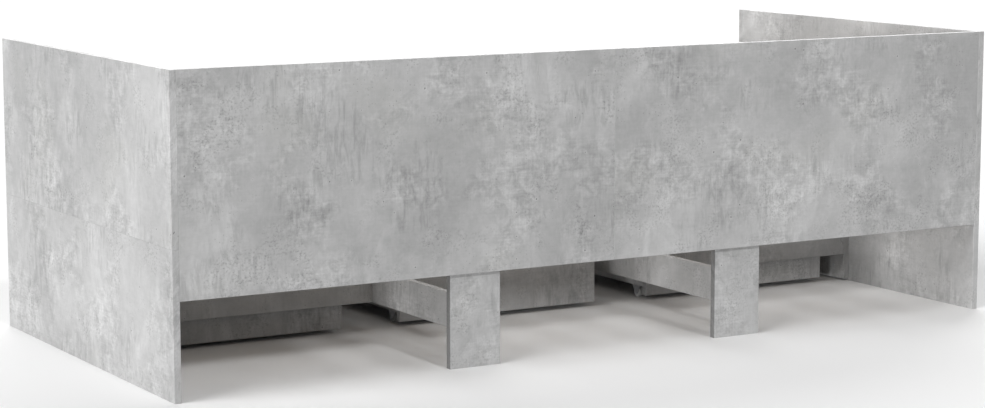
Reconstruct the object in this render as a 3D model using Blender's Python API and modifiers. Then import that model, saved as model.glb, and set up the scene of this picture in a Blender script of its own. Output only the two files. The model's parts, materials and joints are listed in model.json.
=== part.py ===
"""Storage daybed: a frame of laminated board with three drawers that roll on castors.

Metres, +Z up. The origin is on the floor, in the middle of the length and of the depth.
The open front and the drawers face -Y, and the tall back stands on the +Y side.
Left and right are those of someone who stands in front and looks along +Y.
"""

import math

import bmesh
import bpy
from mathutils import Matrix, Vector

# Whole daybed
LENGTH = 2.030
DEPTH = 0.940
HEIGHT = 0.650

# Boards and the way they meet
BOARD = 0.015
JOINT_GAP = 0.0003
EDGE_ROUND = 0.0005
CUT_OVERRUN = 0.002
WELD_DISTANCE = 0.00001

# Legs, panels and rails
BAYS = 3
SUPPORT_HEIGHT = 0.250
LEG_LAP = 0.050
LEG_WIDTH = 0.120
FRONT_LIP = 0.060
SEAM_ABOVE_SUPPORT = 0.052
STRETCHER_BOTTOM = 0.067
STRETCHER_HEIGHT = 0.075
SIDE_BOARD_LIFT = 0.005

# Slat deck
BATTEN_WIDTH = 0.020
BATTEN_HEIGHT = 0.030
SLAT_COUNT = 14
SLAT_WIDTH = 0.065
SLAT_THICKNESS = 0.010
SLAT_END_CLEARANCE = 0.005
SLAT_EDGE_ROUND = 0.002
TAPE_WIDTH = 0.025
TAPE_THICKNESS = 0.001
TAPE_DEPTH_SHARES = (-0.30, 0.30)

# Drawers
DRAWER_SIDE = 0.012
DRAWER_BOTTOM = 0.012
DRAWER_SIDE_CLEARANCE = 0.0133
DRAWER_BACK_CLEARANCE = 0.0055
DRAWER_FLOOR_CLEARANCE = 0.0105
FRONT_GAP = 0.003
FRONT_TOP_GAP = 0.0035
BOX_BELOW_FRONT = 0.0265

# Finger notch in the top edge of a drawer front
NOTCH_WIDTH = 0.120
NOTCH_DEPTH = 0.024
NOTCH_CORNER_SHARE = 0.45
NOTCH_ARC_STEPS = 5

# Castors
WHEEL_RADIUS = 0.012
WHEEL_WIDTH = 0.012
WHEEL_STEPS = 18
WHEEL_TOP_CLEARANCE = 0.0045
WHEEL_SIDE_CLEARANCE = 0.0006
WHEEL_DISH = 0.0015
TREAD_CHAMFER = 0.0013
HUB_RADIUS_SHARE = 0.36
DISH_START_SHARE = 0.44
DISH_END_SHARE = 0.74
RIM_RADIUS_SHARE = 0.82
AXLE_RADIUS = 0.0015
AXLE_STEPS = 10
AXLE_CLEARANCE = 0.00035
RIVET_RADIUS = 0.0028
RIVET_HEIGHT = 0.0008
BRACKET_SHEET = 0.0012
BRACKET_LENGTH = 0.046
BRACKET_CORNER = 0.0035
BRACKET_HOLE_RADIUS = 0.0017
BRACKET_HOLE_INSET = 0.005
CHEEK_LENGTH = 0.036
CHEEK_END_RADIUS = 0.0065
CASTOR_SIDE_INSET = 0.017
CASTOR_END_INSET = 0.056
SMALL_ARC_STEPS = 3
SMALL_HOLE_STEPS = 10

# Round pockets for the cam locks, in the inner faces of boards
CAM_POCKET_RADIUS = 0.0075
CAM_POCKET_WALL = 0.003
CAM_END_INSET = 0.034
CAM_STEPS = 16
BACK_CAM_SHARES = (0.055, 0.50, 0.93)
RAIL_CAM_SHARES = (0.17, 0.80)

# Sizes and heights that follow
CLEAR_LENGTH = LENGTH - 2 * BOARD
CAM_POCKET_DEPTH = BOARD - CAM_POCKET_WALL
PITCH = CLEAR_LENGTH / BAYS
LEG_X = PITCH / 2
SUPPORT_TOP = SUPPORT_HEIGHT - JOINT_GAP
PANEL_BOTTOM = SUPPORT_HEIGHT - LEG_LAP
DECK_TOP = SUPPORT_HEIGHT + BATTEN_HEIGHT + JOINT_GAP + SLAT_THICKNESS
RAIL_TOP = DECK_TOP + FRONT_LIP
END_SEAM = SUPPORT_HEIGHT + SEAM_ABOVE_SUPPORT
INNER_BACK = DEPTH / 2 - BOARD
SIDE_BOARD_INNER = CLEAR_LENGTH / 2 - JOINT_GAP - BOARD
CASTOR_HEIGHT = 2 * WHEEL_RADIUS + WHEEL_TOP_CLEARANCE + BRACKET_SHEET + JOINT_GAP
BOX_WIDTH = PITCH - LEG_WIDTH - 2 * DRAWER_SIDE_CLEARANCE
FRONT_WIDTH = (CLEAR_LENGTH - (BAYS + 1) * FRONT_GAP) / BAYS
FRONT_TOP = PANEL_BOTTOM - FRONT_TOP_GAP
FRONT_HEIGHT = FRONT_TOP - DRAWER_FLOOR_CLEARANCE
BOX_TOP = FRONT_TOP - BOX_BELOW_FRONT
BOX_REAR = -BOARD / 2 - DRAWER_BACK_CLEARANCE
FORK_HALF_WIDTH = WHEEL_WIDTH / 2 + WHEEL_SIDE_CLEARANCE + BRACKET_SHEET
PLATE_LIFT = CASTOR_HEIGHT - JOINT_GAP - BRACKET_SHEET / 2 - WHEEL_RADIUS

SIDES = (("left", -1), ("right", 1))
DRAWERS = (("left", -1), ("middle", 0), ("right", 1))

for leftover in list(bpy.data.objects):
    bpy.data.objects.remove(leftover, do_unlink=True)

daybed = bpy.data.collections.new("storage_daybed")
cutters = bpy.data.collections.new("cutters")
bpy.context.scene.collection.children.link(daybed)
bpy.context.scene.collection.children.link(cutters)


def finish(name, colour, roughness, metallic=0.0):
    """A plain Principled material in linear colour."""
    material = bpy.data.materials.new(name)
    material.use_nodes = True
    shader = material.node_tree.nodes["Principled BSDF"]
    shader.inputs["Base Color"].default_value = (*colour, 1.0)
    shader.inputs["Roughness"].default_value = roughness
    shader.inputs["Metallic"].default_value = metallic
    material.diffuse_color = (*colour, 1.0)
    return material


LAMINATE_COLOUR = (0.50, 0.50, 0.50)
PLYWOOD_COLOUR = (0.62, 0.44, 0.25)
PINE_COLOUR = (0.68, 0.50, 0.30)
ZINC_COLOUR = (0.60, 0.61, 0.62)
WHEEL_COLOUR = (0.62, 0.62, 0.61)


def laminate(name):
    return finish(f"{name}_laminate", LAMINATE_COLOUR, 0.55)


def bright_steel(name):
    return finish(f"{name}_steel", ZINC_COLOUR, 0.35, 1.0)


def place_object(name, mesh, material, location=(0, 0, 0), parent=None):
    """Put a mesh in the daybed at a world place, under a parent that stands unturned."""
    thing = bpy.data.objects.new(name, mesh)
    daybed.objects.link(thing)
    thing.parent = parent
    thing.location = Vector(location) - (parent.location if parent else Vector())
    thing.data.materials.clear()
    thing.data.materials.append(material)
    return thing


def place_empty(name, location):
    empty = bpy.data.objects.new(name, None)
    daybed.objects.link(empty)
    empty.location = location
    return empty


def round_edges(thing, width):
    bevel = thing.modifiers.new("rounded edges", "BEVEL")
    bevel.width = width
    bevel.segments = 1
    bevel.limit_method = "ANGLE"


def board(name, low, high, material=None, parent=None, edge=EDGE_ROUND):
    """A flat board between two opposite corners, its edges eased."""
    low, high = Vector(low), Vector(high)
    shape = bmesh.new()
    bmesh.ops.create_cube(shape, size=1)
    bmesh.ops.scale(shape, vec=high - low, verts=shape.verts)
    mesh = bpy.data.meshes.new(name)
    shape.to_mesh(mesh)
    shape.free()
    thing = place_object(name, mesh, material or laminate(name), (low + high) / 2, parent)
    round_edges(thing, edge)
    return thing


def evaluated_mesh(thing):
    """The object's mesh with its modifiers, in its own space."""
    bpy.context.view_layer.update()
    graph = bpy.context.evaluated_depsgraph_get()
    return bpy.data.meshes.new_from_object(thing.evaluated_get(graph))


def sheet_mesh(name, loops, thickness):
    """A flat piece from closed outlines in its own XY plane, the inner ones being holes."""
    curve = bpy.data.curves.new(name, "CURVE")
    curve.dimensions = "2D"
    curve.fill_mode = "BOTH"
    curve.extrude = thickness / 2
    for loop in loops:
        spline = curve.splines.new("POLY")
        spline.points.add(len(loop) - 1)
        for point, (x, y) in zip(spline.points, loop):
            point.co = (x, y, 0, 1)
        spline.use_cyclic_u = True
    drawn = bpy.data.objects.new(name, curve)
    cutters.objects.link(drawn)
    mesh = evaluated_mesh(drawn)
    bpy.data.objects.remove(drawn)
    shape = bmesh.new()
    shape.from_mesh(mesh)
    bmesh.ops.remove_doubles(shape, verts=shape.verts, dist=WELD_DISTANCE)
    bmesh.ops.dissolve_limit(
        shape, angle_limit=math.radians(1), verts=shape.verts, edges=shape.edges
    )
    bmesh.ops.recalc_face_normals(shape, faces=shape.faces)
    shape.to_mesh(mesh)
    shape.free()
    return mesh


def turned(name, profile, steps):
    """A turned object about its own Z: the profile runs down its outer side at +X."""
    mesh = bpy.data.meshes.new(name)
    shape = bmesh.new()
    points = [shape.verts.new((radius, 0, along)) for radius, along in profile]
    pairs = list(zip(points, points[1:]))
    if profile[0][0] > 0:
        pairs.append((points[-1], points[0]))
    for first, second in pairs:
        shape.edges.new((first, second))
    shape.to_mesh(mesh)
    shape.free()
    thing = bpy.data.objects.new(name, mesh)
    screw = thing.modifiers.new("turned", "SCREW")
    screw.axis = "Z"
    screw.angle = math.tau
    screw.steps = steps
    screw.render_steps = steps
    screw.use_merge_vertices = True
    screw.merge_threshold = WELD_DISTANCE
    return thing


def baked(thing):
    """Turn an object with modifiers into a plain mesh and remove the object."""
    cutters.objects.link(thing)
    mesh = evaluated_mesh(thing)
    bpy.data.objects.remove(thing)
    return mesh


def arc(centre, radius, start, end, steps):
    """Points on an arc from one angle to another, both ends included."""
    angles = [start + (end - start) * step / steps for step in range(steps + 1)]
    return [
        (centre[0] + radius * math.cos(a), centre[1] + radius * math.sin(a)) for a in angles
    ]


def circle(centre, radius, steps):
    return arc(centre, radius, 0, math.tau, steps)[:-1]


def rounded_rectangle(length, width, corner, steps):
    """A rectangle about the origin, length along X, with rounded corners."""
    half_x, half_y = length / 2 - corner, width / 2 - corner
    centres = ((half_x, half_y), (-half_x, half_y), (-half_x, -half_y), (half_x, -half_y))
    quarter = math.pi / 2
    points = []
    for turn, centre in enumerate(centres):
        points += arc(centre, corner, turn * quarter, (turn + 1) * quarter, steps)
    return points


def pocketed(host, normal, points):
    """Cut a round pocket for a cam lock into a board's face at each point."""
    shape = bmesh.new()
    for point in points:
        made = bmesh.ops.create_cone(
            shape,
            cap_ends=True,
            segments=CAM_STEPS,
            radius1=CAM_POCKET_RADIUS,
            radius2=CAM_POCKET_RADIUS,
            depth=CAM_POCKET_DEPTH + CUT_OVERRUN,
        )
        sink = Matrix.Translation((0, 0, (CUT_OVERRUN - CAM_POCKET_DEPTH) / 2))
        turn = Vector(normal).to_track_quat("Z", "Y").to_matrix().to_4x4()
        place = Matrix.Translation(point) @ turn @ sink
        bmesh.ops.transform(shape, matrix=place, verts=made["verts"])
    mesh = bpy.data.meshes.new(f"{host.name}_pockets")
    shape.to_mesh(mesh)
    shape.free()
    cutter = bpy.data.objects.new(mesh.name, mesh)
    cutters.objects.link(cutter)
    cutter.hide_render = True
    cutter.display_type = "WIRE"
    cut = host.modifiers.new("cam pockets", "BOOLEAN")
    cut.operation = "DIFFERENCE"
    cut.solver = "EXACT"
    cut.object = cutter


def end_panels():
    """Each end is two boards, one on the other, over the full depth."""
    for side, sign in SIDES:
        inner, outer = sorted((sign * CLEAR_LENGTH / 2, sign * LENGTH / 2))
        board(
            f"{side}_end_lower",
            (inner, -DEPTH / 2, 0),
            (outer, DEPTH / 2, END_SEAM - JOINT_GAP),
        )
        board(
            f"{side}_end_upper",
            (inner, -DEPTH / 2, END_SEAM),
            (outer, DEPTH / 2, HEIGHT),
        )


def back_and_front_rail():
    """The back and the low front rail, each in two halves with cam locks at the ends."""
    cam_x = CLEAR_LENGTH / 2 - CAM_END_INSET
    back_height = HEIGHT - PANEL_BOTTOM
    rail_height = RAIL_TOP - PANEL_BOTTOM
    for side, sign in SIDES:
        low, high = sorted((sign * JOINT_GAP / 2, sign * (CLEAR_LENGTH / 2 - JOINT_GAP)))
        back = board(
            f"back_panel_{side}",
            (low, INNER_BACK, PANEL_BOTTOM),
            (high, DEPTH / 2, HEIGHT),
        )
        heights = [PANEL_BOTTOM + share * back_height for share in BACK_CAM_SHARES]
        pocketed(back, (0, -1, 0), [(sign * cam_x, INNER_BACK, z) for z in heights])
        rail = board(
            f"front_rail_{side}",
            (low, -DEPTH / 2, PANEL_BOTTOM),
            (high, -INNER_BACK, RAIL_TOP),
        )
        heights = [PANEL_BOTTOM + share * rail_height for share in RAIL_CAM_SHARES]
        pocketed(rail, (0, 1, 0), [(sign * cam_x, -INNER_BACK, z) for z in heights])


def leg_frames():
    """Two frames across the depth: a rear leg, a front leg and the stretcher between them."""
    leg_outer = INNER_BACK - JOINT_GAP
    leg_inner = leg_outer - BOARD
    span = leg_inner - JOINT_GAP
    cam_y = span - CAM_END_INSET
    middle = STRETCHER_BOTTOM + STRETCHER_HEIGHT / 2
    for side, sign in SIDES:
        centre = sign * LEG_X
        low, high = centre - LEG_WIDTH / 2, centre + LEG_WIDTH / 2
        board(f"rear_leg_{side}", (low, leg_inner, 0), (high, leg_outer, SUPPORT_TOP))
        board(f"front_leg_{side}", (low, -leg_outer, 0), (high, -leg_inner, SUPPORT_TOP))
        low, high = centre - BOARD / 2, centre + BOARD / 2
        stretcher = board(
            f"cross_stretcher_{side}",
            (low, -span, STRETCHER_BOTTOM),
            (high, span, STRETCHER_BOTTOM + STRETCHER_HEIGHT),
        )
        pocketed(stretcher, (-1, 0, 0), [(low, y, middle) for y in (-cam_y, cam_y)])


def side_boards_and_mid_stretchers():
    """Inside each end a board over the front half, and a stretcher from it to the leg frame."""
    middle = STRETCHER_BOTTOM + STRETCHER_HEIGHT / 2
    near = LEG_X + BOARD / 2 + JOINT_GAP
    far = SIDE_BOARD_INNER - JOINT_GAP
    for side, sign in SIDES:
        low, high = sorted((sign * SIDE_BOARD_INNER, sign * (SIDE_BOARD_INNER + BOARD)))
        board(
            f"{side}_side_board",
            (low, -INNER_BACK + JOINT_GAP, SIDE_BOARD_LIFT),
            (high, BOARD / 2, SUPPORT_TOP),
        )
        low, high = sorted((sign * near, sign * far))
        stretcher = board(
            f"mid_stretcher_{side}",
            (low, -BOARD / 2, STRETCHER_BOTTOM),
            (high, BOARD / 2, STRETCHER_BOTTOM + STRETCHER_HEIGHT),
        )
        cam_spots = (low + CAM_END_INSET, high - CAM_END_INSET)
        pocketed(stretcher, (0, -1, 0), [(x, -BOARD / 2, middle) for x in cam_spots])


def battens():
    """A batten along the back and one along the front rail, each tying its two halves."""
    outer = INNER_BACK - JOINT_GAP
    inner = outer - BATTEN_WIDTH
    half_length = CLEAR_LENGTH / 2 - JOINT_GAP
    for name, near, far in (("rear_batten", inner, outer), ("front_batten", -outer, -inner)):
        board(
            name,
            (-half_length, near, SUPPORT_HEIGHT),
            (half_length, far, SUPPORT_HEIGHT + BATTEN_HEIGHT),
            finish(f"{name}_pine", PINE_COLOUR, 0.6),
        )


def slat_roll():
    """Plywood slats across the battens, held at one spacing by two tapes stapled along them."""
    cell = CLEAR_LENGTH / SLAT_COUNT
    first = (cell - CLEAR_LENGTH) / 2
    half_length = INNER_BACK - SLAT_END_CLEARANCE
    slats = board(
        "slat_roll",
        (first - SLAT_WIDTH / 2, -half_length, DECK_TOP - SLAT_THICKNESS),
        (first + SLAT_WIDTH / 2, half_length, DECK_TOP),
        finish("plywood", PLYWOOD_COLOUR, 0.5),
        edge=SLAT_EDGE_ROUND,
    )
    row = slats.modifiers.new("row of slats", "ARRAY")
    row.use_relative_offset = False
    row.use_constant_offset = True
    row.constant_offset_displace = (cell, 0, 0)
    row.count = SLAT_COUNT
    row.merge_threshold = WELD_DISTANCE
    half_tape = CLEAR_LENGTH / 2 - (cell - SLAT_WIDTH) / 2 - 2 * SLAT_EDGE_ROUND
    for number, share in enumerate(TAPE_DEPTH_SHARES):
        y = share * DEPTH
        tape = board(
            f"tape_{number}",
            (-half_tape, y - TAPE_WIDTH / 2, DECK_TOP - TAPE_THICKNESS / 2),
            (half_tape, y + TAPE_WIDTH / 2, DECK_TOP + TAPE_THICKNESS),
            edge=TAPE_THICKNESS / 4,
        )
        daybed.objects.unlink(tape)
        cutters.objects.link(tape)
        tape.hide_render = True
        tape.display_type = "WIRE"
        staple = slats.modifiers.new("stapled tape", "BOOLEAN")
        staple.operation = "UNION"
        staple.solver = "EXACT"
        staple.object = tape


def notched_front_outline():
    """A drawer front with a shallow finger notch in the middle of its top edge."""
    half_width, half_height = FRONT_WIDTH / 2, FRONT_HEIGHT / 2
    half_notch = NOTCH_WIDTH / 2
    corner = NOTCH_CORNER_SHARE * NOTCH_DEPTH
    floor = half_height - NOTCH_DEPTH
    quarter = math.pi / 2
    right = arc(
        (half_notch + corner, half_height - corner),
        corner,
        quarter,
        2 * quarter,
        NOTCH_ARC_STEPS,
    )
    right += arc(
        (half_notch - corner, floor + corner),
        corner,
        0,
        -quarter,
        NOTCH_ARC_STEPS,
    )
    left = [(-x, z) for x, z in reversed(right)]
    ends = [(-half_width, half_height), (-half_width, -half_height)]
    return [(half_width, -half_height), (half_width, half_height)] + right + left + ends


def bracket_mesh():
    """A folded castor bracket about its axle: plate, two tapering cheeks and the riveted pin."""
    plate_outline = rounded_rectangle(
        BRACKET_LENGTH, 2 * FORK_HALF_WIDTH, BRACKET_CORNER, SMALL_ARC_STEPS
    )
    hole_x = BRACKET_LENGTH / 2 - BRACKET_HOLE_INSET
    screw_holes = [
        circle((sign * hole_x, 0), BRACKET_HOLE_RADIUS, SMALL_HOLE_STEPS) for _, sign in SIDES
    ]
    plate = bpy.data.objects.new(
        "bracket", sheet_mesh("bracket_plate", [plate_outline, *screw_holes], BRACKET_SHEET)
    )
    half_cheek = CHEEK_LENGTH / 2
    slant = math.acos(CHEEK_END_RADIUS / math.hypot(half_cheek, PLATE_LIFT))
    tangent = math.atan2(PLATE_LIFT, half_cheek) - slant
    cheek_outline = [(half_cheek, PLATE_LIFT), (-half_cheek, PLATE_LIFT)]
    cheek_outline += arc(
        (0, 0), CHEEK_END_RADIUS, -math.pi - tangent, tangent, 2 * SMALL_ARC_STEPS
    )
    cheek = sheet_mesh("bracket_cheek", [cheek_outline], BRACKET_SHEET)
    upright = Matrix.Rotation(math.pi / 2, 4, "X")
    joined = [
        (cheek, Matrix.Translation((0, sign * (FORK_HALF_WIDTH - BRACKET_SHEET / 2), 0)) @ upright)
        for _, sign in SIDES
    ]
    joined.append((axle_mesh(), upright))
    helpers = []
    for mesh, place in joined:
        helper = bpy.data.objects.new("bracket_helper", mesh)
        cutters.objects.link(helper)
        helper.matrix_world = Matrix.Translation((0, 0, -PLATE_LIFT)) @ place
        join = plate.modifiers.new("joined", "BOOLEAN")
        join.operation = "UNION"
        join.solver = "EXACT"
        join.object = helper
        helpers.append(helper)
    whole = baked(plate)
    for helper in helpers:
        bpy.data.objects.remove(helper)
    whole.transform(Matrix.Rotation(math.pi / 2, 4, "Z") @ Matrix.Translation((0, 0, PLATE_LIFT)))
    whole.shade_smooth()
    whole.set_sharp_from_angle(angle=math.radians(35))
    return whole


def axle_mesh():
    """The pin along Z, its flat rivet heads reaching into the cheeks."""
    tip = FORK_HALF_WIDTH + RIVET_HEIGHT
    neck = FORK_HALF_WIDTH - BRACKET_SHEET / 2
    upper = [(0, tip), (RIVET_RADIUS, tip), (RIVET_RADIUS, neck), (AXLE_RADIUS, neck)]
    lower = [(radius, -along) for radius, along in reversed(upper)]
    return baked(turned("axle", upper + lower, AXLE_STEPS))


def wheel_mesh():
    """A small plastic wheel about X: hub, dished sides and a tread with eased edges."""
    half = WHEEL_WIDTH / 2
    bore = (AXLE_RADIUS + AXLE_CLEARANCE) / math.cos(math.pi / WHEEL_STEPS)
    upper = [
        (bore, half),
        (HUB_RADIUS_SHARE * WHEEL_RADIUS, half),
        (DISH_START_SHARE * WHEEL_RADIUS, half - WHEEL_DISH),
        (DISH_END_SHARE * WHEEL_RADIUS, half - WHEEL_DISH),
        (RIM_RADIUS_SHARE * WHEEL_RADIUS, half),
        (WHEEL_RADIUS - TREAD_CHAMFER / 2, half),
        (WHEEL_RADIUS, half - TREAD_CHAMFER),
    ]
    lower = [(radius, -along) for radius, along in reversed(upper)]
    mesh = baked(turned("wheel", upper + lower, WHEEL_STEPS))
    mesh.transform(Matrix.Rotation(math.pi / 2, 4, "Y"))
    mesh.shade_smooth()
    mesh.set_sharp_from_angle(angle=math.radians(30))
    return mesh


def drawers():
    """Three drawers: a board front and back, a plain box, and four castors under its bottom."""
    front_outline = notched_front_outline()
    bracket, wheel = bracket_mesh(), wheel_mesh()
    wheel_x = BOX_WIDTH / 2 - CASTOR_SIDE_INSET
    rear_wheel_y = BOX_REAR - CASTOR_END_INSET
    front_wheel_y = -DEPTH / 2 + CASTOR_END_INSET
    box_front = -INNER_BACK + JOINT_GAP
    box_back = BOX_REAR - BOARD - JOINT_GAP
    side_bottom = CASTOR_HEIGHT + DRAWER_BOTTOM + JOINT_GAP
    half_box = BOX_WIDTH / 2
    for place, step in DRAWERS:
        name = f"drawer_{place}"
        centre = step * PITCH
        slide = place_empty(f"{name}_slide", (centre, -DEPTH / 2, 0))
        front = place_object(
            f"{name}_front",
            sheet_mesh(f"{name}_front", [front_outline], BOARD),
            laminate(f"{name}_front"),
            (centre, (-DEPTH / 2 - INNER_BACK) / 2, DRAWER_FLOOR_CLEARANCE + FRONT_HEIGHT / 2),
            slide,
        )
        front.rotation_euler = (math.pi / 2, 0, 0)
        round_edges(front, EDGE_ROUND)
        board(
            f"{name}_back",
            (centre - half_box, BOX_REAR - BOARD, DRAWER_FLOOR_CLEARANCE),
            (centre + half_box, BOX_REAR, BOX_TOP),
            parent=slide,
        )
        board(
            f"{name}_bottom",
            (centre - half_box, box_front, CASTOR_HEIGHT),
            (centre + half_box, box_back, CASTOR_HEIGHT + DRAWER_BOTTOM),
            parent=slide,
        )
        for side, sign in SIDES:
            outer = centre + sign * half_box
            low, high = sorted((outer, outer - sign * DRAWER_SIDE))
            board(
                f"{name}_{side}_side",
                (low, box_front, side_bottom),
                (high, box_back, BOX_TOP),
                parent=slide,
            )
        spots = [
            (f"{end}_{side}", Vector((centre + sign * wheel_x, y, WHEEL_RADIUS)))
            for end, y in (("front", front_wheel_y), ("rear", rear_wheel_y))
            for side, sign in SIDES
        ]
        for corner, spot in spots:
            castor = f"{name}_castor_{corner}"
            place_object(castor, bracket.copy(), bright_steel(castor), spot, slide)
            hub = f"{name}_wheel_{corner}"
            plastic = finish(f"{hub}_plastic", WHEEL_COLOUR, 0.5)
            place_object(hub, wheel.copy(), plastic, spot, slide)


end_panels()
back_and_front_rail()
leg_frames()
side_boards_and_mid_stretchers()
battens()
slat_roll()
drawers()
print(f"{sum(thing.type == 'MESH' for thing in daybed.objects)} pieces modelled")
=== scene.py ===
# %% [markdown]
# # A storage daybed in concrete-look board
# The daybed is flat-pack furniture: particle board with a printed concrete film, held by cam
# locks, plates and screws, with three drawers that roll on small castors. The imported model
# already holds every board at its real size. What it lacks is what the eye looks for: the
# print, the separate slats and tapes, the hardware, and the fine shape of the castors. A lesson
# that started from nothing would have to measure all of it again, so this one dresses the model.

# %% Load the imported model
import json
import math

import bmesh
import bpy
from mathutils import Matrix, Vector


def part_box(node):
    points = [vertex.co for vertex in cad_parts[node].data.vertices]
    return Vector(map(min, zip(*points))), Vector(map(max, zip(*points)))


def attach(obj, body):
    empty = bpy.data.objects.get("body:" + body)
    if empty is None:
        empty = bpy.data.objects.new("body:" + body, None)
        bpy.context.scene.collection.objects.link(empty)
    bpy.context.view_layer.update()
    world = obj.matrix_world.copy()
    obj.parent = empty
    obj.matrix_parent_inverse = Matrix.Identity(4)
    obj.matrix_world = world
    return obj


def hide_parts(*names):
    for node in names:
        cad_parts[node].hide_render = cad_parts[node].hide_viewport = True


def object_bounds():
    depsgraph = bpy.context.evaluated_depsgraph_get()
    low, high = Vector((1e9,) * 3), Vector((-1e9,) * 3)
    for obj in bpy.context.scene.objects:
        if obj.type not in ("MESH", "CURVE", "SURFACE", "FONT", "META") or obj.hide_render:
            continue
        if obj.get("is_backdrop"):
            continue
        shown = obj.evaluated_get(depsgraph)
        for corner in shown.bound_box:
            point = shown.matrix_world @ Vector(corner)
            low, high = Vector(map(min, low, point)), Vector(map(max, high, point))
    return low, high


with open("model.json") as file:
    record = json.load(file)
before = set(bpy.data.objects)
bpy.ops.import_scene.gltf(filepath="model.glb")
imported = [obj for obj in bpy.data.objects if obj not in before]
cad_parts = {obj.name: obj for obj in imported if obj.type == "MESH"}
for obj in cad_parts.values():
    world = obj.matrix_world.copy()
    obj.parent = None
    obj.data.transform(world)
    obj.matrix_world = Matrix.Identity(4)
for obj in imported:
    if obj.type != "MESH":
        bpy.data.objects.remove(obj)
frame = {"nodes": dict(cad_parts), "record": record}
cad_low, cad_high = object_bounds()

# %% [markdown]
# ## Camera
# The photograph looks from behind and from the daybed's +X end, a little above the back. Its
# two vanishing points give the distance and a long lens. A lens shift would keep the uprights
# parallel, but it would push the daybed out of the other views, so the camera tilts instead.

# %% Camera at the photograph's angle
CAMERA_PLACE = (2.8823, 4.8830, 1.0638)
CAMERA_YAW = 30.328
CAMERA_TILT = 8.043
CAMERA_LENS = 91.45
SENSOR_WIDTH = 36.0
CAMERA_REACH = 100

camera = bpy.data.objects.new("camera", bpy.data.cameras.new("camera"))
bpy.context.scene.collection.objects.link(camera)
camera.location = CAMERA_PLACE
tilt, yaw = math.radians(CAMERA_TILT), math.radians(CAMERA_YAW)
camera.rotation_euler = (math.pi / 2 - tilt, 0, math.pi - yaw)
camera.data.lens = CAMERA_LENS
camera.data.sensor_width = SENSOR_WIDTH
camera.data.clip_end = CAMERA_REACH
bpy.context.scene.camera = camera
print("the camera is", round(Vector(CAMERA_PLACE).length, 2), "m from the origin")

# %% [markdown]
# ## Helpers for materials
# Each finish is a small network of nodes. They could be added and wired one call at a time, but
# then the wiring hides the idea. With these three helpers a step of a network is one line that
# reads like a formula, and a link or a number can stand in the same place.

# %% Node, maths and surface
def node(tree, kind, **inputs):
    """Add a node and set the sockets named in inputs, with spaces written as underscores."""
    made = tree.nodes.new(kind)
    for name, value in inputs.items():
        made.inputs[name.replace("_", " ")].default_value = value
    return made


def maths(tree, operation, *values):
    """A Math node on up to three values, each a socket or a number."""
    made = tree.nodes.new("ShaderNodeMath")
    made.operation = operation
    for slot, value in zip(made.inputs, values):
        if isinstance(value, bpy.types.NodeSocket):
            tree.links.new(value, slot)
        else:
            slot.default_value = value
    return made.outputs[0]


def surface(name, roughness=0.5, metallic=0.0):
    """A material, its node tree, its shader and its Object coordinates."""
    material = bpy.data.materials.new(name)
    material.use_nodes = True
    tree = material.node_tree
    shader = tree.nodes["Principled BSDF"]
    shader.inputs["Roughness"].default_value = roughness
    shader.inputs["Metallic"].default_value = metallic
    return material, tree, shader, node(tree, "ShaderNodeTexCoord").outputs["Object"]


print("three helpers ready")

# %% [markdown]
# ## Surround and floor
# The photograph is cut out on pure white. A world bright enough for that white would also wash
# out the dark space under the bed. So the surround is full white only for what the camera and
# the reflections see, told apart by their Light Path, and lights the daybed less. The floor
# paper is pale to the camera in the same way, and gives back less than it shows.

# %% A white surround and pale paper
WHITE = (1, 1, 1, 1)
FLOOR_HALF = 14.0
FLOOR_ROUGHNESS = 0.9
FLOOR_SEEN = 0.90
FLOOR_GIVES_BACK = 0.42
SURROUND_LIGHT = 0.20


def eye_rays(tree):
    """1 for what the camera sees, straight on or in a reflection, and 0 for light on objects."""
    rays = node(tree, "ShaderNodeLightPath").outputs
    seen = maths(tree, "MAXIMUM", rays["Is Camera Ray"], rays["Is Glossy Ray"])
    return maths(tree, "MAXIMUM", seen, rays["Is Transmission Ray"])


scene = bpy.context.scene
scene.view_settings.view_transform = "Standard"
scene.world = bpy.data.worlds.new("surround")
scene.world.use_nodes = True
sky = scene.world.node_tree
sky_light = maths(sky, "MULTIPLY_ADD", eye_rays(sky), 1 - SURROUND_LIGHT, SURROUND_LIGHT)
sky.nodes["Background"].inputs["Color"].default_value = WHITE
sky.links.new(sky_light, sky.nodes["Background"].inputs["Strength"])

paper, tree, shader, _ = surface("floor_paper", FLOOR_ROUGHNESS)
seen = eye_rays(tree)
tone = maths(tree, "MULTIPLY_ADD", seen, FLOOR_SEEN - FLOOR_GIVES_BACK, FLOOR_GIVES_BACK)
tree.links.new(tone, shader.inputs["Base Color"])
shape = bmesh.new()
bmesh.ops.create_grid(shape, x_segments=1, y_segments=1, size=FLOOR_HALF)
floor = bpy.data.objects.new("floor", bpy.data.meshes.new("floor"))
shape.to_mesh(floor.data)
shape.free()
floor.data.materials.append(paper)
scene.collection.objects.link(floor)
floor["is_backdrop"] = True
print("floor half", FLOOR_HALF, "m, surround at", SURROUND_LIGHT)

# %% [markdown]
# ## Lamps
# In the photograph the faces towards +X are the brightest, the back is a third darker, and under
# the bed the +X faces still catch light while the drawer backs stay dark. Area lamps could do
# that, but they fall off along two metres of bed. Sun lamps light every part alike, and their
# angle sets the softness of the shadows. One is high at the side, one low enough to reach in
# under the back, one hard from behind for the thin shadow of the back on the legs, and a wide
# one at the front serves the views that the photograph doesn't show.

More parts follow.
